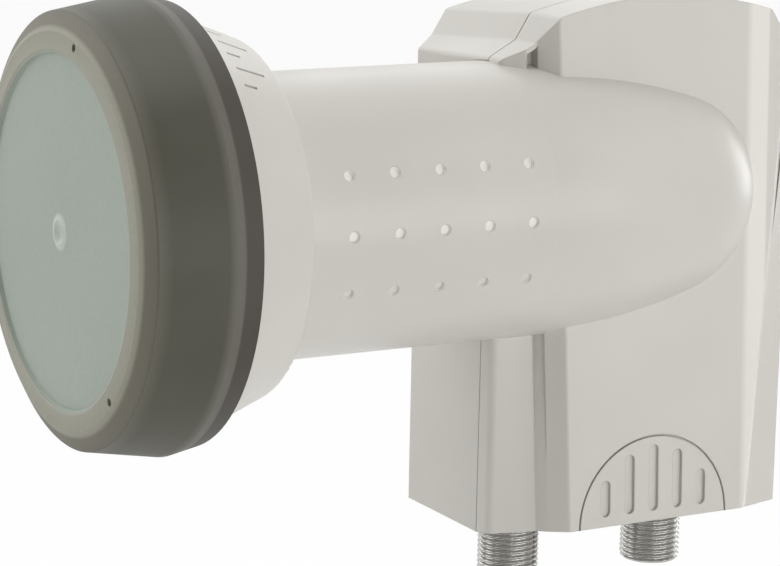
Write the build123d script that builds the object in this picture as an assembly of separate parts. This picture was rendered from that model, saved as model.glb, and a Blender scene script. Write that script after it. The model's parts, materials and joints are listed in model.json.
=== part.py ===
from build123d import *
import math
import os

# Twin-output satellite LNB. Millimetres, +Z up.
# The feed points towards -Y and the origin is on its axis, in the middle of the neck's grip dots.
# +X is the side on which the neck bulges out of the housing.

# Neck, collar and bulge
neck_dia = 40.0                 # standard bracket size
neck_wall = 2.0
neck_spigot = 3.0               # length that the neck reaches into the rear shell
collar_rear_y = -22.3
collar_rear_r = 24.9
collar_front_y = -34.0
collar_front_r = 29.4
collar_wall = 2.2
collar_round = 0.7
spigot_front_y = -45.4          # the cap slides over this spigot
spigot_step = 1.1               # height of the collar's edge above the spigot
spigot_wall = 2.0
bulge_mid_y = 37.2              # the neck runs on as a slender barrel
bulge_mid_r = 18.85
bulge_knee_y = 48.2             # where the bulge starts to close
bulge_knee_r = 16.5
bulge_nose_y = 55.6             # a point on the nose's round
bulge_nose_r = 12.6
bulge_end_y = 59.2
bulge_end_r = 8.3
nose_out = 0.8                  # the nose's slant, which splits its wall between radius
nose_back = 0.6                 # and length

# Grip dots on the neck and tick marks on the collar
dot_pitch = 6.97
dot_turn = 23.7                 # degrees between rows
dot_tilt = 0.9
dot_r = 0.78
dot_depth = 0.4
dot_draft = 0.08
dot_columns = 5
tick_pitch = 6.7                # degrees
tick_count = 13
tick_start_y = -29.4
tick_long = 4.8
tick_short = 2.2
tick_width = 0.45
tick_depth = 0.4

# Housing outline
front_y = 18.0
rear_y = 68.6
far_x = -20.8
bottom_z = -49.6
near_bottom_z = -48.0           # at the foot of the near side
ledge_z = 20.5                  # roof step, measured on the seam plane x = 0
ledge_rise = 2.4
ledge_run = 4.4
step_rise = 3.8
step_run = 2.4
crown_rise = 2.6
ledge_fall = 0.0485             # drop of the ledge's front edge for each millimetre towards the far side
roof_fall = 0.068               # the same for the step and the crown
roof_forward = 0.105            # how far the step comes forward for each millimetre
roof_back = 0.05                # how far it goes back towards the near side
roof_round = 1.0
wall = 1.8
seam_gap = 0.15
neck_fit = 0.05
edge_round = 0.6
far_round = 0.5

# Near half's side and corner, measured at the height corner_z
corner_z = -21.0
near_x = 9.56
side_lean_x = 0.042             # the side leans out towards the bottom
side_lean_y = 0.032             # and its front corner leans back
rear_lean = 0.096
side_front_y = 26.6
side_rear_y = 63.2
rear_bevel_x = 2.6
rear_bevel_y = 2.5
strip_w = 3.0                   # flat strip beside the seam
strip_round = 1.3
low_cut_x = 2.9                 # slanted cut in front of the side, below the neck
low_cut_y = 2.0
low_slot_x = 1.86               # slot between the cut and the shoulder
low_slot_y = 0.9
top_cut_x = 2.58                # the same two above the neck
top_cut_y = 2.32
top_slot_x = 0.08
top_slot_y = 1.81
slot_depth = 0.55
slot_taper = 0.032              # the slot runs out towards the bottom
slot_roof = 0.7                 # height of the roof over the slot
rear_strip_in_x = 6.2           # rear shell's strip behind the near half
rear_strip_out_x = 4.2

# Half-round grip pad on the near side
pad_r = 13.0
pad_y = 42.0
pad_depth = 0.5
pad_rim = 1.5
pad_line = 0.3
pad_slots = 5
pad_slot_pitch = 4.2
pad_slot_w = 1.6

# Feed cap
cap_front = 2.9                 # reach of the cap in front of the spigot
cap_face_sink = 0.7
cap_wall = 1.4                  # at the face
cap_side_wall = 0.75            # at the front of the side
cap_lip_wall = 1.55             # over the collar's edge
cap_bevel = 2.2
cap_bevel_back = 1.2
cap_rim_w = 3.4
cap_rim_drop = 0.4
cap_step = 0.18
cap_lip_back = 2.6              # widest place, in front of the collar's edge
cap_lip_taper = 0.8
cap_overlap = 1.55              # length over the collar
cap_fit = 0.25
gate_r = 2.7
gate_rise = 0.3
drain_in = 1.1                  # from the rim's outer edge
drain_angles = (76.6, -47.7, 194.5)
drain_hole_r = 0.55
seal_r = 0.8
seal_back = 6.0

# Cast chassis
guide_r = 8.75                  # circular waveguide bore
guide_wall = 2.0
guide_end_y = 51.0
guide_end_wall = 2.0
throat_y = -16.0
horn_r = 19.0
horn_wall = 1.6
horn_mouth_y = -40.0
ring_count = 2                  # choke grooves round the horn's mouth
ring_wall = 1.1
ring_depth = 5.0
flange_fit = 0.2
tray_floor_x = -9.5
tray_floor = 2.0
tray_rim_x = -15.4
tray_front_gap = 4.8
tray_rear_gap = 4.6
tray_top_z = 17.6
tray_bottom_z = -41.2
tray_wall = 2.0
lug_r = 3.1

# Board, cover and probes
board_t = 1.0
board_gap = 0.4
cover_t = 1.2
cover_screw_r = 1.25
cover_screw_len = 6.0
cover_screw_fit = 0.15
cover_head_r = 2.3
cover_head_t = 1.3
post_r = 2.9
cover_row = 11.0                # height of the lower cover screws above the tray's bottom
pin_r = 0.5
pin_fit = 0.05
sleeve_r = 1.4
sleeve_reach = 0.175            # into the waveguide
vertical_probe_y = 30.0
horizontal_probe_y = 43.0
isolator_y = 36.5
isolator_r = 0.8
isolator_fit = 0.02
isolator_gap = 0.3              # between its end and the far wall of the waveguide
probe_reach = 5.2
chip_side = 5.0
chip_t = 0.9
regulator_w = 6.6
regulator_h = 6.2
regulator_t = 2.3
crystal_w = 3.2
crystal_h = 2.5
crystal_t = 0.8
chip_z = -22.0
crystal_shift = 8.0             # from the board's middle towards the rear
regulator_shift = -6.0
regulator_z = -32.0
probe_tail = 0.6

# Output ports
port_x = -11.0
port_front_y = 30.3
port_pitch = 26.1
port_r = 4.675                  # 3/8-32 thread
port_end_z = -61.2
port_bore_r = 3.3
port_flange_r = 6.2
port_flange_t = 4.5
port_spigot_r = 4.0
port_fit = 0.15
port_chamfer = 0.4
port_relief_r = 4.4             # plain part of the port, above its thread
port_relief_gap = 0.2
contact_r = 0.5
contact_socket_r = 1.1
contact_socket_wall = 0.2       # of the insulator round the contact
contact_fit = 0.05
contact_tail = 4.0
insulator_depth = 2.2

# Housing screws
screw_r = 1.25
screw_hole_r = 1.45
screw_head_r = 2.3
screw_head_t = 1.8
head_fit = 0.2
screw_grip = 6.0
boss_r = 3.1
screw_top_front_y = 31.0
screw_top_z = 21.2
screw_low_z = -44.6
cross_w = 0.7                   # cross recess in a screw's head
cross_len = 2.9
cross_depth = 0.6

# Values worked out from the sizes above
neck_r = neck_dia / 2
neck_bore_r = neck_r - neck_wall
spigot_r = collar_front_r - spigot_step
low_corner = ((low_cut_x, low_cut_y), (low_slot_x, low_slot_y))
top_corner = ((top_cut_x, top_cut_y), (top_slot_x, top_slot_y))
near_foot_x = near_x + side_lean_x * (corner_z - near_bottom_z)
mid_y = (front_y + rear_y) / 2
screw_places = (
    (screw_top_front_y, screw_top_z),
    (2 * mid_y - screw_top_front_y, screw_top_z),
    (mid_y, screw_low_z),
)
port_places = (port_front_y, port_front_y + port_pitch)
floor_near_x = tray_floor_x + tray_floor
tray_front_y = front_y + wall + tray_front_gap
tray_rear_y = rear_y - wall - tray_rear_gap
board_x = tray_floor_x - board_t
boss_floor_z = bottom_z + wall
big = 200.0


def side_plane(x):
    return Plane(origin=(x, 0, 0), x_dir=(0, 1, 0), z_dir=(1, 0, 0))


def turned(points):
    """Solid of revolution about the feed axis from (radius, y) points."""
    outline = make_face(Polyline(*points, close=True))
    return revolve(outline, Axis.Y, 360)


def rod_x(y, z, radius, x0, x1):
    """Round bar along X between two places."""
    return Pos((x0 + x1) / 2, y, z) * Rot(0, 90, 0) * Cylinder(radius, abs(x1 - x0))


def rod_y(radius, y0, y1):
    return Pos(0, (y0 + y1) / 2, 0) * Rot(90, 0, 0) * Cylinder(radius, y1 - y0)


def rod_z(x, y, radius, z0, z1):
    return Pos(x, y, (z0 + z1) / 2) * Cylinder(radius, z1 - z0)


def block(x0, x1, y0, y1, z0, z1):
    return Pos((x0 + x1) / 2, (y0 + y1) / 2, (z0 + z1) / 2) * Box(x1 - x0, y1 - y0, z1 - z0)


def roof_section(x, low_z, inset=0.0):
    """Side outline of the housing at one x, with every wall moved in by inset."""
    away = min(x, 0)
    shift = away * roof_forward + max(x, 0) * roof_back
    front = front_y + inset
    rear = rear_y - inset
    edge_z = ledge_z + away * ledge_fall - inset
    step_y = front_y + ledge_run + shift + inset / 2
    step_z = ledge_z + ledge_rise + away * roof_fall - inset
    crown_y = step_y + step_run
    crown_z = step_z + step_rise
    rear_step_y = rear_y - ledge_run - inset / 2
    rear_crown_y = rear_step_y - step_run
    sides = Polyline(
        (crown_y, crown_z),
        (step_y, step_z),
        (front, edge_z),
        (front, low_z + inset),
        (rear, low_z + inset),
        (rear, edge_z),
        (rear_step_y, step_z),
        (rear_crown_y, crown_z),
    )
    crown = ThreePointArc(
        (rear_crown_y, crown_z),
        ((crown_y + rear_crown_y) / 2, crown_z + crown_rise),
        (crown_y, crown_z),
    )
    return side_plane(x) * make_face([*sides.edges(), crown])


def roofed(x0, low0, x1, low1, inset=0.0):
    """Housing block between two side outlines."""
    return loft([roof_section(x0, low0, inset), roof_section(x1, low1, inset)], ruled=True)


def soft_roofed(x0, low0, x1, low1):
    """The same block with the roof's long edges rounded."""
    body = roofed(x0, low0, x1, low1)
    long_edges = [e for e in body.edges() if abs(e.tangent_at(0.5).X) > 0.9 and e.center().Z > 0]
    return fillet(long_edges, roof_round)


def near_corner(z, cut, slot):
    """Places along the near half's corner at one height: shoulder, slot's end, side's front and rear."""
    down = corner_z - z
    side_x = near_x + side_lean_x * down
    front = (side_x, side_front_y + side_lean_y * down)
    slot_end = (front[0] - cut[0], front[1] - cut[1])
    shoulder = (slot_end[0] - slot[0], slot_end[1] - slot[1])
    return shoulder, slot_end, front, near_rear(z)


def near_rear(z):
    """Near half's rear edge beside the seam at one height."""
    down = corner_z - z
    return near_x + side_lean_x * down - rear_bevel_x, side_rear_y - rear_lean * down


def sunk(point, slot, depth):
    """A point moved square into the slot by a depth."""
    length = math.hypot(*slot)
    return (point[0] - slot[1] / length * depth, point[1] + slot[0] / length * depth)


def slot_reach(z):
    """Depth of the slot at one height."""
    return slot_depth - slot_taper * (corner_z - z)


def near_plan(z, cut, slot):
    """Outline of the near half seen from above, at one height."""
    shoulder, slot_end, front, rear = near_corner(z, cut, slot)
    corners = (
        ((0, front_y), 0),
        ((strip_w, front_y), strip_round),
        (shoulder, 0),
        (slot_end, 0),
        (front, edge_round),
        ((front[0], rear[1] - rear_bevel_y), 0),
        (rear, 0),
        ((0, rear[1]), 0),
    )
    points, rounds = zip(*corners)
    return Plane.XY.offset(z) * make_face(FilletPolyline(*points, radius=rounds, close=True))


def near_plan_inner(z, cut, slot):
    """Inner outline of the near half at one height."""
    shoulder, slot_end, front, rear = near_corner(z, cut, slot)
    depth = slot_reach(z) + wall
    points = (
        (-1, front_y + wall),
        (strip_w - wall, front_y + wall),
        sunk(shoulder, slot, depth),
        sunk(slot_end, slot, depth),
        (front[0] - wall, front[1] + wall),
        (front[0] - wall, rear[1] - rear_bevel_y),
        (rear[0] - wall, rear[1] - wall),
        (-1, rear[1] - wall),
    )
    return Plane.XY.offset(z) * make_face(Polyline(*points, close=True))


def slot_plan(z, cut, slot):
    """Section of the tool that cuts the slot, from outside the wall to the slot's floor."""
    shoulder, slot_end = near_corner(z, cut, slot)[:2]
    depth = slot_reach(z)
    points = (
        sunk(shoulder, slot, -wall),
        sunk(slot_end, slot, -wall),
        sunk(slot_end, slot, depth),
        sunk(shoulder, slot, depth),
    )
    return Plane.XY.offset(z) * make_face(Polyline(*points, close=True))


def near_block(plan):
    """Upright block from one outline below the neck and another above it."""
    lower = loft([plan(near_low, *low_corner), plan(0, *low_corner)], ruled=True)
    upper = loft([plan(0, *top_corner), plan(near_high, *top_corner)], ruled=True)
    return lower + upper


def bulge(inset):
    """Round nose that runs on from the neck through the near side."""
    start = (neck_r - inset, front_y)
    knee = (bulge_knee_r - inset, bulge_knee_y)
    side = ThreePointArc(start, (bulge_mid_r - inset, bulge_mid_y), knee)
    end = (bulge_end_r, bulge_end_y - inset)
    nose = ThreePointArc(knee, (bulge_nose_r - inset * nose_out, bulge_nose_y - inset * nose_back), end)
    rest = Polyline(end, (0, bulge_end_y - inset), (0, front_y), start)
    body = revolve(make_face([side, nose, *rest.edges()]), Axis.Y, 360)
    return body & block(0, big, -big, big, -big, big)


def screw_boss(y, z, x0, x1):
    return rod_x(y, z, boss_r, x0, x1)


def cross_recess(x, y, z):
    cross = Box(2 * cross_depth, cross_len, cross_w) + Box(2 * cross_depth, cross_w, cross_len)
    return Pos(x, y, z) * cross


# Main housing: neck, collar and near half in one moulding
near_low = bottom_z - edge_round
near_high = ledge_z + ledge_rise + step_rise + crown_rise + edge_round
near_outer = near_block(near_plan) & soft_roofed(0, bottom_z, near_foot_x, near_bottom_z)
near_outer -= near_block(slot_plan) & Pos(0, 0, -slot_roof) * roofed(0, near_low, near_foot_x, near_low)
near_cavity = near_block(near_plan_inner) & roofed(-1, bottom_z, near_foot_x, near_bottom_z, wall)

collar_slope = (collar_rear_r - collar_front_r) / (collar_rear_y - collar_front_y)
collar_in_y = collar_rear_y - collar_wall
collar_in_r = collar_rear_r + collar_slope * -collar_wall - collar_wall
spigot_bore_r = spigot_r - spigot_wall
bore_meet_y = collar_in_y + (spigot_bore_r - collar_in_r) / collar_slope
barrel = turned((
    (neck_bore_r, front_y + neck_spigot),
    (neck_r, front_y + neck_spigot),
    (neck_r, collar_rear_y),
    (collar_rear_r, collar_rear_y),
    (collar_front_r, collar_front_y),
    (spigot_r, collar_front_y),
    (spigot_r, spigot_front_y),
    (spigot_bore_r, spigot_front_y),
    (spigot_bore_r, bore_meet_y),
    (collar_in_r, collar_in_y),
    (neck_bore_r, collar_in_y),
))
seal_y = spigot_front_y + seal_back
seal_groove_r = spigot_r + cap_fit - 2 * seal_r
barrel -= turned((
    (seal_groove_r, seal_y - seal_r),
    (spigot_r + 1, seal_y - seal_r),
    (spigot_r + 1, seal_y + seal_r),
    (seal_groove_r, seal_y + seal_r),
))
collar_rim = barrel.edges().filter_by(GeomType.CIRCLE).filter_by_position(
    Axis.Y, collar_rear_y - 0.01, collar_rear_y + 0.01)
barrel = fillet(collar_rim, collar_round)

main_housing = near_outer + bulge(0) + barrel
bore = rod_y(neck_bore_r, collar_in_y, front_y + neck_spigot + 2 * neck_wall)
main_housing -= bulge(wall)
main_housing -= near_cavity
main_housing -= bore

for y, z in screw_places:
    post = screw_boss(y, z, floor_near_x, near_x - wall / 2)
    post = post & (near_outer + block(-big, 0, -big, big, -big, big))
    main_housing += post
    main_housing -= rod_x(y, z, screw_r, floor_near_x - 1, floor_near_x + screw_grip + 1)

# Grip dots in three rows, sunk in the neck
for row in (-1, 0, 1):
    turn = dot_tilt + row * dot_turn
    for column in range(dot_columns):
        place = (column - (dot_columns - 1) / 2) * dot_pitch
        dot = Cone(dot_r - dot_draft, dot_r + dot_draft, 2 * dot_depth)
        main_housing -= Rot(0, -turn, 0) * Pos(neck_r, place, 0) * Rot(0, 90, 0) * dot

# Skew scale cut in the collar's top
cone_tilt = math.degrees(math.atan(collar_slope))
for index in range(tick_count):
    turn = 90 + (index - (tick_count - 1) / 2) * tick_pitch
    length = tick_long if (index - (tick_count - 1) // 2) % 2 else tick_short
    middle_y = tick_start_y + length / 2
    middle_r = collar_rear_r + collar_slope * (middle_y - collar_rear_y)
    cutter = Pos(middle_r, middle_y, 0) * Rot(0, 0, -cone_tilt) * Box(2 * tick_depth, length, tick_width)
    main_housing -= Rot(0, -turn, 0) * cutter

# Half-round grip pad with upright slots, sunk in the near side
pad_plane = Plane(origin=(near_foot_x, pad_y, near_bottom_z), x_dir=(0, 1, 0), z_dir=(1, 0, side_lean_x))
upper_half = Pos(0, big / 2) * Rectangle(big, big)
pad_border = (Circle(pad_r) - Circle(pad_r - pad_line)) & upper_half
main_housing -= extrude(pad_plane * pad_border, amount=-pad_depth)
for index in range(pad_slots):
    place = (index - (pad_slots - 1) / 2) * pad_slot_pitch
    height = math.sqrt((pad_r - pad_rim) ** 2 - (abs(place) + pad_slot_w / 2) ** 2) - pad_rim
    slot = Pos(place, pad_rim + height / 2) * Rot(0, 0, 90) * SlotOverall(height, pad_slot_w)
    main_housing -= extrude(pad_plane * slot, amount=-pad_depth)
main_housing.label = "main_housing"


def strip_plan(z):
    """Outline of the rear shell's strip at one height."""
    rear = near_rear(z)[1] + seam_gap
    points = ((-1, rear), (rear_strip_in_x, rear), (rear_strip_out_x, rear_y), (-1, rear_y))
    return Plane.XY.offset(z) * make_face(Polyline(*points, close=True))


# Rear shell: the far half, with the strip that shows behind the near half
far_outer = soft_roofed(far_x, bottom_z, -seam_gap, bottom_z)
far_edges = far_outer.faces().sort_by(Axis.X)[0].edges()
far_outer = fillet(far_edges, far_round)
strip = loft([strip_plan(near_low), strip_plan(near_high)], ruled=True)
strip = strip & soft_roofed(-seam_gap, bottom_z, near_x, bottom_z)
rear_shell = far_outer + strip
far_cavity = roofed(far_x + wall, bottom_z, 1, bottom_z, wall)
strip_limit = block(-big, rear_strip_out_x - wall, -big, big, -big, big)
rear_shell -= far_cavity & (block(-big, -seam_gap, -big, big, -big, big) + strip_limit)
rear_shell -= rod_y(neck_r + neck_fit, front_y - wall, front_y + neck_spigot + seam_gap)
for y, z in screw_places:
    sleeve = screw_boss(y, z, far_x + wall / 2, tray_floor_x)
    rear_shell += sleeve & roofed(far_x, bottom_z, -seam_gap, bottom_z)
    rear_shell -= rod_x(y, z, screw_hole_r, far_x - 1, tray_floor_x + 1)
    rear_shell -= rod_x(y, z, screw_head_r + head_fit, far_x - screw_head_t, far_x + wall + screw_head_t)
for y in port_places:
    rear_shell -= rod_z(port_x, y, port_r + port_fit, bottom_z - 1, boss_floor_z + 1)
rear_shell.label = "rear_shell"

# Feed cap
cap_front_y = spigot_front_y - cap_front
cap_face_y = cap_front_y + cap_face_sink
cap_bore_r = spigot_r + cap_fit
cap_side_r = cap_bore_r + cap_side_wall
cap_side_y = cap_front_y + cap_rim_drop + cap_bevel_back
cap_rim_r = cap_side_r - cap_bevel
cap_face_r = cap_rim_r - cap_rim_w
cap_lip_bore_r = collar_front_r + cap_fit
cap_max_r = cap_lip_bore_r + cap_lip_wall
feed_cap = turned((
    (0, cap_face_y + gate_rise),
    (gate_r * 0.3, cap_face_y + gate_rise * 0.6),
    (gate_r * 0.6, cap_face_y - gate_rise),
    (gate_r, cap_face_y),
    (cap_face_r, cap_face_y),
    (cap_face_r + cap_face_sink / 3, cap_front_y + cap_face_sink / 4),
    (cap_face_r + cap_face_sink, cap_front_y),
    (cap_rim_r - cap_rim_drop, cap_front_y + cap_rim_drop / 2),
    (cap_rim_r, cap_front_y + cap_rim_drop),
    (cap_side_r, cap_side_y),
    (cap_side_r + cap_step, cap_side_y + cap_step),
    (cap_max_r, collar_front_y - cap_lip_back),
    (cap_max_r - cap_lip_taper, collar_front_y + cap_overlap),
    (cap_lip_bore_r, collar_front_y + cap_overlap),
    (cap_lip_bore_r, collar_front_y - cap_fit),
    (cap_bore_r, collar_front_y - cap_fit),
    (cap_bore_r, spigot_front_y - cap_fit),
    (cap_face_r, cap_face_y + cap_wall),
    (0, cap_face_y + cap_wall),
))
drain_r = cap_rim_r - drain_in
for angle in drain_angles:
    drain = Pos(drain_r, cap_face_y, 0) * Rot(90, 0, 0) * Cylinder(drain_hole_r, 4 * cap_wall)
    feed_cap -= Rot(0, -angle, 0) * drain
feed_cap.label = "feed_cap"

cap_seal = Pos(0, seal_y, 0) * Rot(90, 0, 0) * Torus(cap_bore_r - seal_r, seal_r)
cap_seal.label = "cap_seal"

# Cast chassis: corrugated horn, waveguide and board tray
guide_out_r = guide_r + guide_wall
flange_r = spigot_bore_r - flange_fit
horn_outline = [
    (0, guide_end_y + guide_end_wall),
    (guide_out_r, guide_end_y + guide_end_wall),
    (guide_out_r, throat_y),
    (horn_r + horn_wall, horn_mouth_y + 2 * ring_depth / 3),
    (flange_r, horn_mouth_y + 2 * ring_depth / 3),
    (flange_r, horn_mouth_y - ring_depth / 2),
]
groove_w = (flange_r - ring_wall - horn_r - ring_count * ring_wall) / ring_count
radius = flange_r - ring_wall
for index in range(ring_count):
    lip_y = horn_mouth_y - ring_depth / 2 + (index + 1) * ring_depth / 4
    horn_outline.append((radius, lip_y - ring_depth / 4))
    horn_outline.append((radius, horn_mouth_y + ring_depth / 3))
    horn_outline.append((radius - groove_w, horn_mouth_y + ring_depth / 3))
    horn_outline.append((radius - groove_w, lip_y))
    radius -= groove_w + ring_wall
    horn_outline.append((radius, lip_y))
horn_outline += [(horn_r, horn_mouth_y), (guide_r, throat_y), (guide_r, guide_end_y), (0, guide_end_y)]
clean_outline = [p for i, p in enumerate(horn_outline) if i == 0 or p != horn_outline[i - 1]]
chassis = turned(clean_outline)
chassis -= block(-big, tray_floor_x, front_y + wall, big, -big, big)
chassis += block(tray_floor_x, floor_near_x, tray_front_y, tray_rear_y, tray_bottom_z, tray_top_z) \
    - rod_y(guide_r, front_y, guide_end_y)
tray_out = block(tray_rim_x, tray_floor_x, tray_front_y, tray_rear_y, tray_bottom_z, tray_top_z)
tray_in = block(tray_rim_x, tray_floor_x, tray_front_y + tray_wall, tray_rear_y - tray_wall,
                tray_bottom_z + tray_wall, tray_top_z - tray_wall)
chassis += tray_out - tray_in
cover_screw_places = [
    (y, z)
    for y in (tray_front_y + post_r, tray_rear_y - post_r)
    for z in (tray_bottom_z + cover_row, tray_top_z - post_r)
]
for y, z in cover_screw_places:
    chassis += rod_x(y, z, post_r, tray_rim_x, tray_floor_x)
    chassis -= rod_x(y, z, cover_screw_r, tray_rim_x - 1, tray_rim_x + cover_screw_len)
for y, z in screw_places:
    toward = tray_top_z - 1 if z > 0 else tray_bottom_z + 1
    lug = rod_x(y, z, lug_r, tray_floor_x, floor_near_x)
    lug += block(tray_floor_x, floor_near_x, y - lug_r, y + lug_r, min(z, toward), max(z, toward))
    chassis += lug
    chassis -= rod_x(y, z, screw_hole_r, tray_floor_x - 1, floor_near_x + 1)
for y in port_places:
    chassis -= rod_z(port_x, y, port_spigot_r, tray_bottom_z - 1, tray_bottom_z + tray_wall + 1)
for y in (vertical_probe_y, horizontal_probe_y):
    chassis -= rod_x(y, 0, sleeve_r, tray_floor_x - 1, 0)
chassis -= rod_x(isolator_y, 0, isolator_r, tray_floor_x - 1, 0)
chassis.label = "chassis"

# Circuit board, its shield cover and the parts on the board
board_front = tray_front_y + tray_wall + board_gap
board_rear = tray_rear_y - tray_wall - board_gap
board_low = tray_bottom_z + tray_wall + board_gap
board_high = tray_top_z - tray_wall - board_gap
circuit_board = block(board_x, tray_floor_x, board_front, board_rear, board_low, board_high)
for y, z in cover_screw_places:
    circuit_board -= rod_x(y, z, post_r + board_gap, board_x - 1, tray_floor_x + 1)
for y in (vertical_probe_y, horizontal_probe_y):
    circuit_board -= rod_x(y, 0, pin_r + pin_fit, board_x - 1, tray_floor_x + 1)
circuit_board.label = "circuit_board"

shield_cover = block(tray_rim_x - cover_t, tray_rim_x, tray_front_y, tray_rear_y, tray_bottom_z, tray_top_z)
for y, z in cover_screw_places:
    shield_cover -= rod_x(y, z, cover_screw_r + cover_screw_fit, tray_rim_x - cover_t - 1, tray_rim_x + 1)
shield_cover.label = "shield_cover"

cover_screws = []
for index, (y, z) in enumerate(cover_screw_places):
    head_x = tray_rim_x - cover_t
    screw = rod_x(y, z, cover_screw_r, head_x, tray_rim_x + cover_screw_len - 1)
    screw += rod_x(y, z, cover_head_r, head_x - cover_head_t, head_x)
    screw -= cross_recess(head_x - cover_head_t, y, z)
    screw.label = f"cover_screw_{index + 1}"
    cover_screws.append(screw)


def probe_sleeve(y):
    sleeve = rod_x(y, 0, sleeve_r, tray_floor_x, sleeve_reach - guide_r)
    return sleeve - rod_x(y, 0, pin_r + pin_fit, tray_floor_x - 1, 0)


vertical_sleeve = probe_sleeve(vertical_probe_y)
vertical_sleeve.label = "vertical_probe_sleeve"
horizontal_sleeve = probe_sleeve(horizontal_probe_y)
horizontal_sleeve.label = "horizontal_probe_sleeve"

probe_tail_x = board_x - probe_tail
probe_tip_x = -guide_r + probe_reach
vertical_probe = rod_x(vertical_probe_y, 0, pin_r, probe_tail_x, probe_tip_x)
vertical_probe.label = "vertical_probe"
bend_x = probe_tip_x - probe_reach / 3
horizontal_probe = rod_x(horizontal_probe_y, 0, pin_r, probe_tail_x, bend_x)
horizontal_probe += Pos(bend_x, horizontal_probe_y, 0) * Sphere(pin_r)
horizontal_probe += rod_z(bend_x, horizontal_probe_y, pin_r, 0, probe_reach)
horizontal_probe.label = "horizontal_probe"

isolation_pin = rod_x(isolator_y, 0, isolator_r - isolator_fit, tray_floor_x, guide_r - isolator_gap)
isolation_pin.label = "isolation_pin"


def on_board(y, z, width, height, thickness):
    """A part that lies on the board."""
    return block(board_x - thickness, board_x, y - width / 2, y + width / 2, z - height / 2, z + height / 2)


converter_chip = on_board(mid_y, chip_z, chip_side, chip_side, chip_t)
converter_chip.label = "converter_chip"
regulator = on_board(mid_y + regulator_shift, regulator_z, regulator_w, regulator_h, regulator_t)
regulator.label = "regulator"
crystal = on_board(mid_y + crystal_shift, chip_z, crystal_w, crystal_h, crystal_t)
crystal.label = "reference_crystal"

# Output ports
flange_low_z = tray_bottom_z - port_flange_t
ring_sect_r = (flange_low_z - boss_floor_z) / 2


def port_body(y):
    body = rod_z(port_x, y, port_r, port_end_z, bottom_z - port_relief_gap)
    ends = body.edges().filter_by(GeomType.CIRCLE).sort_by(Axis.Z)[0:1]
    body = chamfer(ends, port_chamfer)
    body += rod_z(port_x, y, port_relief_r, bottom_z - port_relief_gap, flange_low_z)
    body += rod_z(port_x, y, port_flange_r, flange_low_z, tray_bottom_z)
    body += rod_z(port_x, y, port_spigot_r, tray_bottom_z, tray_bottom_z + tray_wall)
    body -= rod_z(port_x, y, port_bore_r, port_end_z - 1, tray_bottom_z - insulator_depth / 2)
    return body - rod_z(port_x, y, contact_socket_r, port_end_z, tray_bottom_z + tray_wall + 1)


def port_insulator(y):
    top = tray_bottom_z - insulator_depth / 2
    plug = rod_z(port_x, y, port_bore_r, port_end_z + insulator_depth / 2, top)
    plug += rod_z(port_x, y, contact_socket_r, top, tray_bottom_z + tray_wall)
    plug -= rod_z(port_x, y, contact_socket_r - contact_socket_wall, port_end_z, flange_low_z)
    return plug - rod_z(port_x, y, contact_r, flange_low_z - 1, tray_bottom_z + tray_wall + 1)


def port_contact(y):
    pin = rod_z(port_x, y, contact_r, flange_low_z, board_low + contact_tail)
    socket_r = contact_socket_r - contact_socket_wall - contact_fit
    socket = rod_z(port_x, y, socket_r, port_end_z + insulator_depth, flange_low_z)
    return pin + socket - rod_z(port_x, y, contact_r, port_end_z, flange_low_z - 1)


def port_seal(y):
    z = flange_low_z - ring_sect_r
    return Pos(port_x, y, z) * Torus(port_relief_r + ring_sect_r, ring_sect_r)


port_pieces = []
for name, y in zip(("front", "rear"), port_places):
    for kind, maker in (("body", port_body), ("insulator", port_insulator),
                        ("contact", port_contact), ("seal", port_seal)):
        piece = maker(y)
        piece.label = f"{name}_port_{kind}"
        port_pieces.append(piece)

# Housing screws, put in from the far side
housing_screws = []
for index, (y, z) in enumerate(screw_places):
    head_x = far_x + wall + screw_head_t
    screw = rod_x(y, z, screw_r, head_x, floor_near_x + screw_grip)
    screw += rod_x(y, z, screw_head_r, head_x - screw_head_t, head_x)
    screw -= cross_recess(head_x - screw_head_t, y, z)
    screw.label = f"housing_screw_{index + 1}"
    housing_screws.append(screw)

pieces = [main_housing, rear_shell, feed_cap, cap_seal, chassis, circuit_board, shield_cover,
          vertical_probe, horizontal_probe, vertical_sleeve, horizontal_sleeve, isolation_pin,
          converter_chip, regulator, crystal, *cover_screws, *port_pieces, *housing_screws]

os.makedirs("parts", exist_ok=True)
for piece in pieces:
    export_step(piece, f"parts/{piece.label}.step")
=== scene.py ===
import json
import math

import bmesh
import bpy
from mathutils import Matrix, Vector


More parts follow.
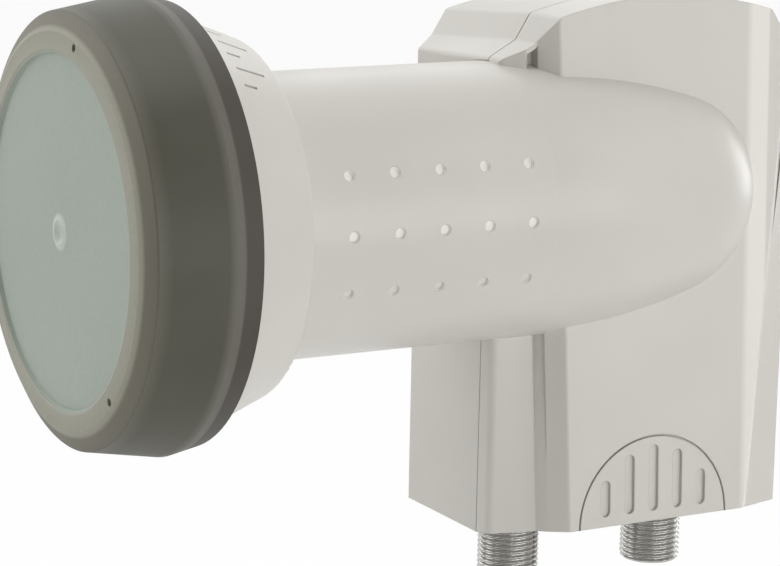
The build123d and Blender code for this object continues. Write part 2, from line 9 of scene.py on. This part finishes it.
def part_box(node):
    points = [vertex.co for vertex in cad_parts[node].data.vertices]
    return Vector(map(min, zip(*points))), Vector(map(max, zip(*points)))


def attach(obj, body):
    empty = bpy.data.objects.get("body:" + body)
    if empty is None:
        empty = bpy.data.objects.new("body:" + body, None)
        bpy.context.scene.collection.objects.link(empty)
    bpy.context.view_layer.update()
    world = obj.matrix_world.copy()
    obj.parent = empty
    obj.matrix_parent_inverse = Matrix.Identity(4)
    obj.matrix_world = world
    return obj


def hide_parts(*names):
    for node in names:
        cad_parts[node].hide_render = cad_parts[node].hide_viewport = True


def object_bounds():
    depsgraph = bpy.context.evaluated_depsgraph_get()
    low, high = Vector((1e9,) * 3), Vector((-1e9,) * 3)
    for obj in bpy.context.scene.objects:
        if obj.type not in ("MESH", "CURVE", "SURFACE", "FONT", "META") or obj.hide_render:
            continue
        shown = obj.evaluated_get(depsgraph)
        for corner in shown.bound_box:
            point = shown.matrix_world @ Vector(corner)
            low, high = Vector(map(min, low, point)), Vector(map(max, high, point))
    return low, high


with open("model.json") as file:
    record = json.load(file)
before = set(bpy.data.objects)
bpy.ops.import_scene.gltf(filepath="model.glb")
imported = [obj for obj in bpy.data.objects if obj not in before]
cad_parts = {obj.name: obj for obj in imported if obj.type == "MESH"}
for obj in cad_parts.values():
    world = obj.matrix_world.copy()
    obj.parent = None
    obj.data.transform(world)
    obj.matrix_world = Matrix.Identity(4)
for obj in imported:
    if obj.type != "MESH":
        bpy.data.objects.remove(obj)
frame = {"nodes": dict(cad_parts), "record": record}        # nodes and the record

cad_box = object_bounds()
MM = 0.001

# Camera: angles in degrees, distances from the frame's origin in millimetres along the camera's own axes
PICTURE_W = 780
FOCAL_PX = 2870.5
SENSOR_W = 36.0
AZIMUTH = 60.89
ELEVATION = 11.54
ROLL = 1.13
CAMERA_RIGHT = 2.11
CAMERA_UP = -10.53
CAMERA_BACK = 403.9
CLIP_NEAR = 0.01                # metres
CLIP_FAR = 20

# Ports, in millimetres, upwards from the open end of the body
PORT_R = 4.675
PORT_CHAMFER = 0.4
PORT_THREAD_TOP = 11.4
PORT_RELIEF_R = 4.4
PORT_FLANGE_R = 6.2
PORT_FLANGE_LOW = 15.5
PORT_FLANGE_TOP = 20.0
PORT_SPIGOT_R = 4.0
PORT_BORE_R = 3.3
PORT_BORE_TOP = 18.9
PORT_HOLE_R = 1.1
PORT_TOP = 22.0
EDGE_BREAK = 0.2
SHARP_ANGLE = 50                # degrees
THREAD_PITCH = 0.794
THREAD_DEPTH = 0.43
THREAD_CREST = 0.16             # flat crest and flat root, as shares of the pitch
THREAD_ROOT = 0.20
THREAD_FADE = 0.9               # the thread runs out over this length at its upper end
THREAD_STEPS = 96
THREAD_ROWS = 12                # rings of faces for each pitch

# Finishes: sizes in millimetres, tones as 8-bit picture values, shares from 0 to 1
NOISE_LOW = 0.3                 # most of a noise lies between these two, and the rest is clamped
NOISE_HIGH = 0.7
PATCH_SIZE = 22
PATCH_DETAIL = 3
GRAIN_DETAIL = 2
GRAIN_DEPTH = 0.03
PLASTIC_IOR = 1.5
PLASTIC_ROUGHNESS_SPREAD = 0.05
PLASTICS = (
    # name, light tone, dark tone, roughness, size and strength of the grain
    ("seal_rubber", (40, 40, 40), (30, 30, 30), 0.7, 0.3, 0.2),
    ("ptfe", (238, 238, 232), (228, 228, 222), 0.5, 0.3, 0.1),
    ("board_laminate", (30, 96, 58), (22, 80, 46), 0.35, 1.2, 0.15),
    ("chip_resin", (36, 36, 38), (28, 28, 30), 0.55, 0.15, 0.25),
)
STREAK_DETAIL = 4
STREAK_DEPTH = 0.02
STREAK_TONE = (120, 120, 118)
STREAK_SHARE = 0.25
METAL_ROUGHNESS_SPREAD = 0.3    # as a share of the roughness
METALS = (
    # name, tone, roughness, size and strength of the streaks
    ("cast_metal", (190, 190, 190), 0.42, 1.2, 0.4),
    ("probe_metal", (214, 180, 110), 0.25, 0.8, 0.15),
    ("screw_steel", (190, 190, 188), 0.3, 0.6, 0.15),
    ("crystal_can", (205, 205, 202), 0.22, 0.6, 0.15),
    ("port_nickel", (181, 180, 176), 0.17, 0.7, 0.15),
)

# Cap: each edge between tones has its place, the blend to each side, and the tone before and after
CAP_FACE_EDGES_AND_PIP_HIGHLIGHT = (
    # by distance from the feed axis: pip to disc, disc to rim, rim to bevel, bevel to side; the pip's paler
    # tone is a painted highlight
    (2.4, 0.3, (198, 206, 197), (164, 174, 164)),
    (24.0, 0.2, (164, 174, 164), (158, 158, 144)),
    (27.4, 0.25, (150, 148, 133), (110, 107, 93)),
    (29.5, 0.3, (104, 101, 88), (72, 71, 60)),
)
CAP_RIDGE_EDGE = (-37.2, 0.4, 0, 1)     # along the feed axis, where the ridge and the lip take over
CAP_LIP_EDGE = (-35.2, 0.2, (93, 90, 82), (60, 55, 49))
CAP_DETAIL = 3
CAP_SPECKLE_SIZE = 0.55
CAP_SPECKLE_TONE = (46, 46, 40)
CAP_SPECKLE_SHARE = 0.06
CAP_SPECKLE_DEPTH = 0.05
CAP_SPECKLE_BUMP = 0.2
CAP_CLOUD_SIZE = 14
CAP_CLOUD_TONE = (196, 198, 186)
CAP_CLOUD_SHARE = 0.03
CAP_ROUGHNESS = (0.5, 0.6)
CAP_IOR = 1.4

# Housing: edges as for the cap; painted light in its grip dots lifts their shade, and a painted highlight
# lies on the bevel at its rear
HOUSING_LIGHT = (200, 197, 190)
HOUSING_DARK = (196, 193, 186)
HOUSING_ROUGHNESS = (0.31, 0.39)
HOUSING_GRAIN_SIZE = 0.35
HOUSING_GRAIN_BUMP = 0.22
SOFT_EDGE = 0.25
SOFT_EDGE_SAMPLES = 6
DOT_EDGES = (
    # by distance from the feed axis: into the dots at their floors, and out of them below the neck's surface
    (19.25, 0.05, 0, 1),
    (19.935, 0.015, 1, 0),
)
DOT_WALL_EDGE = (19.64, 0.01, 0, 1)     # by distance from the feed axis, from floors to walls
DOT_NECK_EDGE = (17.25, 0.25, 1, 0)     # along the feed axis, where the neck ends
DOT_ROW_EDGE = (-6.5, 2.5)              # by height, from the bottom row of dots to the rows above it
# painted light in the sunk dots, for the bottom row and for the rows above it: paler floors and still paler
# walls that lift the shade in them
DOT_FLOOR_PAINTED_LIGHT = ((204, 201, 194), (226, 223, 217))
DOT_WALL_PAINTED_LIGHT = ((226, 223, 217), (250, 247, 241))
# painted highlight: a paler tone on the rear bevel
REAR_BEVEL_HIGHLIGHT_EDGES = (
    # along the feed axis: from the side to the bevel, and from the bevel on behind the seam, where a tenth
    # of the painted highlight stays
    (57.9, 0.6, 0, 1),
    (61.4, 0.2, 1, 0.102),
)
REAR_BEVEL_HIGHLIGHT_TONE = (220, 217, 210)

# Studio: sizes in metres, levels as the share of a written colour that a light alone would show
LAMP_DISTANCE = 1.0
LAMPS = (
    # name, azimuth and elevation in degrees, width, height, level
    ("right", 0, 5, 0.60, 0.42, 0.28),
    ("right_rear", 30, 5, 0.60, 0.42, 0.20),
    ("rear", 105, 5, 0.60, 0.42, 0.17),
    ("left", 240, 5, 0.90, 0.60, 0.22),
    ("upper_right", 45, 35, 0.60, 0.60, 0.15),
    ("upper_rear", 135, 35, 0.60, 0.60, 0.12),
    ("upper_far", 180, 35, 0.60, 0.60, 0.11),
    ("upper_left", 225, 35, 1.00, 1.00, 0.43),
    ("overhead", 0, 90, 0.60, 0.60, 0.41),
)
FILL_LEVEL = 0.15
WHITE_LEVEL = 1.0
DIM_LEVEL = 0.08
DIM_SIDE = (0.87, -0.48, 0.10)  # from the part towards the photographer
DIM_EDGE = -0.1                 # cosines of the angle to that side, where the dimming starts and is full
DIM_CORE = 0.5
FLOOR_DROP = 0.10
FLOOR_HALF = 4.0
FLOOR_WHITE = 0.95              # share of plain white to the eye; the rest keeps the shadow
PAPER_GREY = 0.85
PAPER_ROUGHNESS = 0.9


def make_camera():
    sin_a, cos_a = math.sin(math.radians(AZIMUTH)), math.cos(math.radians(AZIMUTH))
    sin_e, cos_e = math.sin(math.radians(ELEVATION)), math.cos(math.radians(ELEVATION))
    sin_r, cos_r = math.sin(math.radians(ROLL)), math.cos(math.radians(ROLL))
    level = Vector((cos_a, sin_a, 0))
    back = Vector((sin_a * cos_e, -cos_a * cos_e, sin_e))
    upright = back.cross(level)
    right = cos_r * level + sin_r * upright
    up = cos_r * upright - sin_r * level
    place = (CAMERA_RIGHT * right + CAMERA_UP * up + CAMERA_BACK * back) * MM
    data = bpy.data.cameras.new("photo_camera")
    data.sensor_width = SENSOR_W
    data.lens = FOCAL_PX * SENSOR_W / PICTURE_W
    data.clip_start = CLIP_NEAR
    data.clip_end = CLIP_FAR
    camera = bpy.data.objects.new("photo_camera", data)
    turn = Matrix((right, up, back)).transposed().to_4x4()
    camera.matrix_world = Matrix.Translation(place) @ turn
    bpy.context.collection.objects.link(camera)
    bpy.context.scene.camera = camera


def linear(tone):
    """Linear colour from 8-bit picture values by the sRGB curve, or a grey from one share."""
    if isinstance(tone, (int, float)):
        return (tone, tone, tone, 1.0)
    out = []
    for value in tone:
        v = value / 255
        out.append(v / 12.92 if v <= 0.04045 else ((v + 0.055) / 1.055) ** 2.4)
    return (*out, 1.0)


class Net:
    """A node tree under construction, with short ways to add and join its nodes."""

    def __init__(self, tree):
        self.nodes = tree.nodes
        self.links = tree.links

    def add(self, kind, **values):
        node = self.nodes.new(kind)
        for name, value in values.items():
            setattr(node, name, value)
        return node

    def feed(self, socket, value):
        """Set a socket to a value, or link it to another socket."""
        if isinstance(value, bpy.types.NodeSocket):
            self.links.new(value, socket)
        else:
            socket.default_value = value

    def maths(self, operation, first, second):
        node = self.add("ShaderNodeMath", operation=operation)
        self.feed(node.inputs[0], first)
        self.feed(node.inputs[1], second)
        return node.outputs["Value"]

    def blend(self, share, first, second):
        """From one shader to another by a share."""
        node = self.add("ShaderNodeMixShader")
        self.feed(node.inputs["Fac"], share)
        self.feed(node.inputs[1], first)
        self.feed(node.inputs[2], second)
        return node.outputs["Shader"]

    def seen_directly(self):
        """One for camera, glossy and transmission rays, zero for the rays that light the object."""
        path = self.add("ShaderNodeLightPath")
        total = path.outputs["Is Camera Ray"]
        for kind in ("Is Glossy Ray", "Is Transmission Ray"):
            total = self.maths("MAXIMUM", total, path.outputs[kind])
        return total


class Finish(Net):
    """A material under construction, with short ways to add what the finishes share."""

    def __init__(self, name):
        self.material = bpy.data.materials.new(name)
        self.material.use_nodes = True
        super().__init__(self.material.node_tree)
        self.shader = self.nodes["Principled BSDF"]

    def give(self, socket, value):
        """Set or link one of the shader's own sockets."""
        self.feed(self.shader.inputs[socket], value)

    def place(self):
        return self.add("ShaderNodeTexCoord").outputs["Object"]

    def noise(self, size, detail):
        node = self.add("ShaderNodeTexNoise")
        self.feed(node.inputs["Vector"], self.place())
        self.feed(node.inputs["Scale"], 1 / (size * MM))
        self.feed(node.inputs["Detail"], detail)
        return node.outputs["Fac"]

    def spread(self, noise, low, high):
        """A noise, spread from one number to another."""
        node = self.add("ShaderNodeMapRange")
        self.feed(node.inputs["Value"], noise)
        self.feed(node.inputs["From Min"], NOISE_LOW)
        self.feed(node.inputs["From Max"], NOISE_HIGH)
        self.feed(node.inputs["To Min"], low)
        self.feed(node.inputs["To Max"], high)
        return node.outputs["Result"]

    def mix(self, share, first, second):
        """From one tone to another by a share; each tone is a socket or one that linear takes."""
        node = self.add("ShaderNodeMix", data_type="RGBA", blend_type="MIX")
        self.feed(node.inputs["Factor"], share)
        for socket, tone in (("A", first), ("B", second)):
            is_socket = isinstance(tone, bpy.types.NodeSocket)
            self.feed(node.inputs[socket], tone if is_socket else linear(tone))
        return node.outputs["Result"]

    def axis_places(self):
        """Distance from the feed axis, place along it, and height."""
        split = self.add("ShaderNodeSeparateXYZ")
        self.feed(split.inputs["Vector"], self.place())
        across = self.add("ShaderNodeCombineXYZ")
        self.feed(across.inputs["X"], split.outputs["X"])
        self.feed(across.inputs["Z"], split.outputs["Z"])
        radius = self.add("ShaderNodeVectorMath", operation="LENGTH")
        self.feed(radius.inputs[0], across.outputs["Vector"])
        return radius.outputs["Value"], split.outputs["Y"], split.outputs["Z"]

    def zones(self, value, *edges):
        """Tones by place, from edges at rising places in millimetres."""
        stops = []
        for place, blend, before, after in edges:
            stops += [(place - blend, before), (place + blend, after)]
        first, last = stops[0][0], stops[-1][0]
        share = self.add("ShaderNodeMapRange")
        self.feed(share.inputs["Value"], value)
        self.feed(share.inputs["From Min"], first * MM)
        self.feed(share.inputs["From Max"], last * MM)
        ramp = self.add("ShaderNodeValToRGB")
        elements = ramp.color_ramp.elements
        while len(elements) < len(stops):
            elements.new(0.5)
        for element, (place, tone) in zip(elements, stops):
            element.position = (place - first) / (last - first)
            element.color = linear(tone)
        self.feed(ramp.inputs["Fac"], share.outputs["Result"])
        return ramp.outputs["Color"]

    def relief(self, value, depth, strength, soft_edge=0):
        """Bump from a texture, on normals that turn softly over edges of this radius."""
        node = self.add("ShaderNodeBump")
        self.feed(node.inputs["Height"], value)
        self.feed(node.inputs["Distance"], depth * MM)
        self.feed(node.inputs["Strength"], strength)
        if soft_edge:
            edge = self.add("ShaderNodeBevel", samples=SOFT_EDGE_SAMPLES)
            self.feed(edge.inputs["Radius"], soft_edge * MM)
            self.feed(node.inputs["Normal"], edge.outputs["Normal"])
        self.give("Normal", node.outputs["Normal"])


def plastic(name, light, dark, roughness, grain_size, grain_bump):
    """Moulded plastic: two close tones in soft patches, and a fine spark-eroded grain."""
    finish = Finish(name)
    patches = finish.noise(PATCH_SIZE, PATCH_DETAIL)
    smoothest = roughness - PLASTIC_ROUGHNESS_SPREAD
    roughest = roughness + PLASTIC_ROUGHNESS_SPREAD
    finish.give("Base Color", finish.mix(finish.spread(patches, 0, 1), light, dark))
    finish.give("Roughness", finish.spread(patches, smoothest, roughest))
    finish.give("IOR", PLASTIC_IOR)
    finish.relief(finish.noise(grain_size, GRAIN_DETAIL), GRAIN_DEPTH, grain_bump)
    return finish.material


def metal(name, tone, roughness, streak_size, streak_bump):
    """Plated or cast metal with faint clouds in its gloss."""
    finish = Finish(name)
    streaks = finish.noise(streak_size, STREAK_DETAIL)
    smoothest = roughness * (1 - METAL_ROUGHNESS_SPREAD)
    roughest = roughness * (1 + METAL_ROUGHNESS_SPREAD)
    finish.give("Base Color", finish.mix(finish.spread(streaks, 0, STREAK_SHARE), tone, STREAK_TONE))
    finish.give("Roughness", finish.spread(streaks, smoothest, roughest))
    finish.give("Metallic", 1.0)
    finish.relief(streaks, STREAK_DEPTH, streak_bump)
    return finish.material


def cap_finish(name):
    """Grey cap: a painted highlight on the pip, paler face and rim, dark flanks with a paler ridge, all with
    a coarse speckle.
    """
    finish = Finish(name)
    radius, along, _ = finish.axis_places()
    speckle = finish.noise(CAP_SPECKLE_SIZE, CAP_DETAIL)
    cloud = finish.noise(CAP_CLOUD_SIZE, CAP_DETAIL)
    # tones of the face by distance from the axis, with a painted highlight on the pip
    face = finish.zones(radius, *CAP_FACE_EDGES_AND_PIP_HIGHLIGHT)
    tone = finish.mix(finish.zones(along, CAP_RIDGE_EDGE), face, finish.zones(along, CAP_LIP_EDGE))
    tone = finish.mix(finish.spread(speckle, 0, CAP_SPECKLE_SHARE), tone, CAP_SPECKLE_TONE)
    tone = finish.mix(finish.spread(cloud, 0, CAP_CLOUD_SHARE), tone, CAP_CLOUD_TONE)
    finish.give("Base Color", tone)
    finish.give("Roughness", finish.spread(cloud, *CAP_ROUGHNESS))
    finish.give("IOR", CAP_IOR)
    finish.relief(speckle, CAP_SPECKLE_DEPTH, CAP_SPECKLE_BUMP)
    return finish.material


def housing_finish(name):
    """Pale moulded plastic, with painted light that lifts the shade in the grip dots of the neck, and a
    painted highlight on the bevel at the rear.
    """
    finish = Finish(name)
    radius, along, height = finish.axis_places()
    patches = finish.noise(PATCH_SIZE, PATCH_DETAIL)
    tone = finish.mix(finish.spread(patches, 0, 1), HOUSING_LIGHT, HOUSING_DARK)
    # painted light in the grip dots: paler floors and walls lift the shade in these recesses, less in the
    # bottom row
    dots = finish.mix(finish.zones(along, DOT_NECK_EDGE), 0, finish.zones(radius, *DOT_EDGES))
    floors = finish.zones(height, (*DOT_ROW_EDGE, *DOT_FLOOR_PAINTED_LIGHT))
    walls = finish.zones(height, (*DOT_ROW_EDGE, *DOT_WALL_PAINTED_LIGHT))
    tone = finish.mix(dots, tone, finish.mix(finish.zones(radius, DOT_WALL_EDGE), floors, walls))
    # painted highlight on the rear bevel
    tone = finish.mix(finish.zones(along, *REAR_BEVEL_HIGHLIGHT_EDGES), tone, REAR_BEVEL_HIGHLIGHT_TONE)
    finish.give("Base Color", tone)
    finish.give("Roughness", finish.spread(patches, *HOUSING_ROUGHNESS))
    finish.give("IOR", PLASTIC_IOR)
    grain = finish.noise(HOUSING_GRAIN_SIZE, GRAIN_DETAIL)
    finish.relief(grain, GRAIN_DEPTH, HOUSING_GRAIN_BUMP, SOFT_EDGE)
    return finish.material


def paper_finish(name):
    """Pale paper, nearly white to the eye and in mirrors."""
    finish = Finish(name)
    finish.give("Base Color", linear(PAPER_GREY))
    finish.give("Roughness", PAPER_ROUGHNESS)
    glow = finish.add("ShaderNodeEmission")
    finish.feed(glow.inputs["Strength"], WHITE_LEVEL)
    share = finish.maths("MULTIPLY", finish.seen_directly(), FLOOR_WHITE)
    paper = finish.blend(share, finish.shader.outputs["BSDF"], glow.outputs["Emission"])
    finish.feed(finish.nodes["Material Output"].inputs["Surface"], paper)
    return finish.material


def make_finishes():
    """The record's material slots, each with its finish."""
    finishes = {
        "housing_plastic": housing_finish("housing_plastic"),
        "cap_plastic": cap_finish("cap_plastic"),
    }
    for name, *values in PLASTICS:
        finishes[name] = plastic(name, *values)
    for name, *values in METALS:
        finishes[name] = metal(name, *values)
    return finishes


def dress_nodes(finishes):
    slots = {row["node"]: row["material_slot"] for row in frame["record"]["subparts"]}
    for name, node in frame["nodes"].items():
        node.data.materials.clear()
        node.data.materials.append(finishes[slots[name]])


def thread_radius(height, turn):
    """Radius of a right-hand thread with flat crests and roots, at a height above the body's open end."""
    along = (height / THREAD_PITCH - turn / (2 * math.pi)) % 1
    flank = (1 - THREAD_CREST - THREAD_ROOT) / 2
    from_crest = max(0, min(abs(along - 0.5) - THREAD_CREST / 2, flank)) / flank
    fade = min(1, (PORT_THREAD_TOP - height) / THREAD_FADE)
    cone = PORT_R - PORT_CHAMFER + height
    return min(PORT_R - THREAD_DEPTH * from_crest * fade, cone)


def port_rings():
    """Rings of (radius by angle, height) up the outside of a port body and back down its bore."""
    count = round(PORT_THREAD_TOP / THREAD_PITCH * THREAD_ROWS)
    heights = [PORT_THREAD_TOP * i / count for i in range(count + 1)]
    rings = [(lambda turn, h=h: thread_radius(h, turn), h) for h in heights]
    for radius, height in (
        (PORT_RELIEF_R, PORT_THREAD_TOP),
        (PORT_RELIEF_R, PORT_FLANGE_LOW),
        (PORT_FLANGE_R - EDGE_BREAK, PORT_FLANGE_LOW),
        (PORT_FLANGE_R, PORT_FLANGE_LOW + EDGE_BREAK),
        (PORT_FLANGE_R, PORT_FLANGE_TOP - EDGE_BREAK),
        (PORT_FLANGE_R - EDGE_BREAK, PORT_FLANGE_TOP),
        (PORT_SPIGOT_R, PORT_FLANGE_TOP),
        (PORT_SPIGOT_R, PORT_TOP),
        (PORT_HOLE_R, PORT_TOP),
        (PORT_HOLE_R, PORT_BORE_TOP),
        (PORT_BORE_R, PORT_BORE_TOP),
        (PORT_BORE_R, EDGE_BREAK),
        (PORT_BORE_R + EDGE_BREAK, 0),
    ):
        rings.append((lambda turn, r=radius: r, height))
    return rings


def threaded_port(name, node, finish):
    """Port body with its thread cut as a helix, in place of the plain solid."""
    low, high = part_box(node)
    middle = (low + high) / 2
    shape = bmesh.new()
    rows = []
    for radius, height in port_rings():
        row = []
        for step in range(THREAD_STEPS):
            turn = 2 * math.pi * step / THREAD_STEPS
            r = radius(turn) * MM
            place = (middle.x + r * math.cos(turn), middle.y + r * math.sin(turn), low.z + height * MM)
            row.append(shape.verts.new(place))
        rows.append(row)
    for lower, upper in zip(rows, rows[1:] + rows[:1]):
        for step in range(THREAD_STEPS):
            after = (step + 1) % THREAD_STEPS
            shape.faces.new((lower[step], lower[after], upper[after], upper[step]))
    bmesh.ops.recalc_face_normals(shape, faces=shape.faces)
    mesh = bpy.data.meshes.new(name)
    shape.to_mesh(mesh)
    shape.free()
    mesh.materials.append(finish)
    mesh.shade_smooth()
    mesh.set_sharp_from_angle(angle=math.radians(SHARP_ANGLE))
    piece = bpy.data.objects.new(name, mesh)
    bpy.context.collection.objects.link(piece)
    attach(piece, "root")
    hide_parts(node)


def make_floor():
    mesh = bpy.data.meshes.new("floor")
    low = cad_box[0][2] - FLOOR_DROP
    corners = [(FLOOR_HALF * x, FLOOR_HALF * y, low) for x, y in ((-1, -1), (1, -1), (1, 1), (-1, 1))]
    mesh.from_pydata(corners, [], [(0, 1, 2, 3)])
    mesh.materials.append(paper_finish("floor_paper"))
    floor = bpy.data.objects.new("floor", mesh)
    bpy.context.collection.objects.link(floor)


def sky(net, level):
    node = net.add("ShaderNodeBackground")
    net.feed(node.inputs["Color"], linear(WHITE_LEVEL))
    net.feed(node.inputs["Strength"], level)
    return node.outputs["Background"]


def dim_share(net):
    """Rises towards the photographer's side, for the rays that leave glossy faces."""
    way = net.add("ShaderNodeTexCoord")
    facing = net.add("ShaderNodeVectorMath", operation="DOT_PRODUCT")
    net.feed(facing.inputs[0], way.outputs["Generated"])
    net.feed(facing.inputs[1], DIM_SIDE)
    soft = net.add("ShaderNodeMapRange", interpolation_type="SMOOTHSTEP")
    net.feed(soft.inputs["Value"], facing.outputs["Value"])
    net.feed(soft.inputs["From Min"], DIM_EDGE)
    net.feed(soft.inputs["From Max"], DIM_CORE)
    path = net.add("ShaderNodeLightPath")
    return net.maths("MULTIPLY", path.outputs["Is Glossy Ray"], soft.outputs["Result"])


def make_world():
    """White to the eye and in mirrors, apart from the photographer's dim side; a level fill otherwise."""
    world = bpy.data.worlds.new("studio")
    bpy.context.scene.world = world
    world.use_nodes = True
    net = Net(world.node_tree)
    net.nodes.remove(net.nodes["Background"])
    plain = net.blend(net.seen_directly(), sky(net, FILL_LEVEL), sky(net, WHITE_LEVEL))
    studio = net.blend(dim_share(net), plain, sky(net, DIM_LEVEL))
    net.feed(net.nodes["World Output"].inputs["Surface"], studio)


def soft_lamp(name, azimuth, elevation, width, height, level):
    """Soft box that faces the middle of the part; level is the share of a colour that it shows."""
    middle = (Vector(cad_box[0]) + Vector(cad_box[1])) / 2
    data = bpy.data.lights.new(name, "AREA")
    data.shape = "RECTANGLE"
    data.size = width
    data.size_y = height
    data.energy = level * (math.pi * LAMP_DISTANCE) ** 2
    lamp = bpy.data.objects.new(name, data)
    around, rise = math.radians(azimuth), math.radians(elevation)
    toward = Vector((math.cos(around) * math.cos(rise), math.sin(around) * math.cos(rise), math.sin(rise)))
    lamp.location = middle + toward * LAMP_DISTANCE
    lamp.rotation_euler = (-toward).to_track_quat("-Z", "Y").to_euler()
    bpy.context.collection.objects.link(lamp)


finishes = make_finishes()
dress_nodes(finishes)
for port in ("front_port", "rear_port"):
    threaded_port(port + "_threaded", port + "_body", finishes["port_nickel"])
make_camera()
make_floor()
make_world()
for row in LAMPS:
    soft_lamp(*row)

bpy.context.scene.view_settings.view_transform = "Standard"
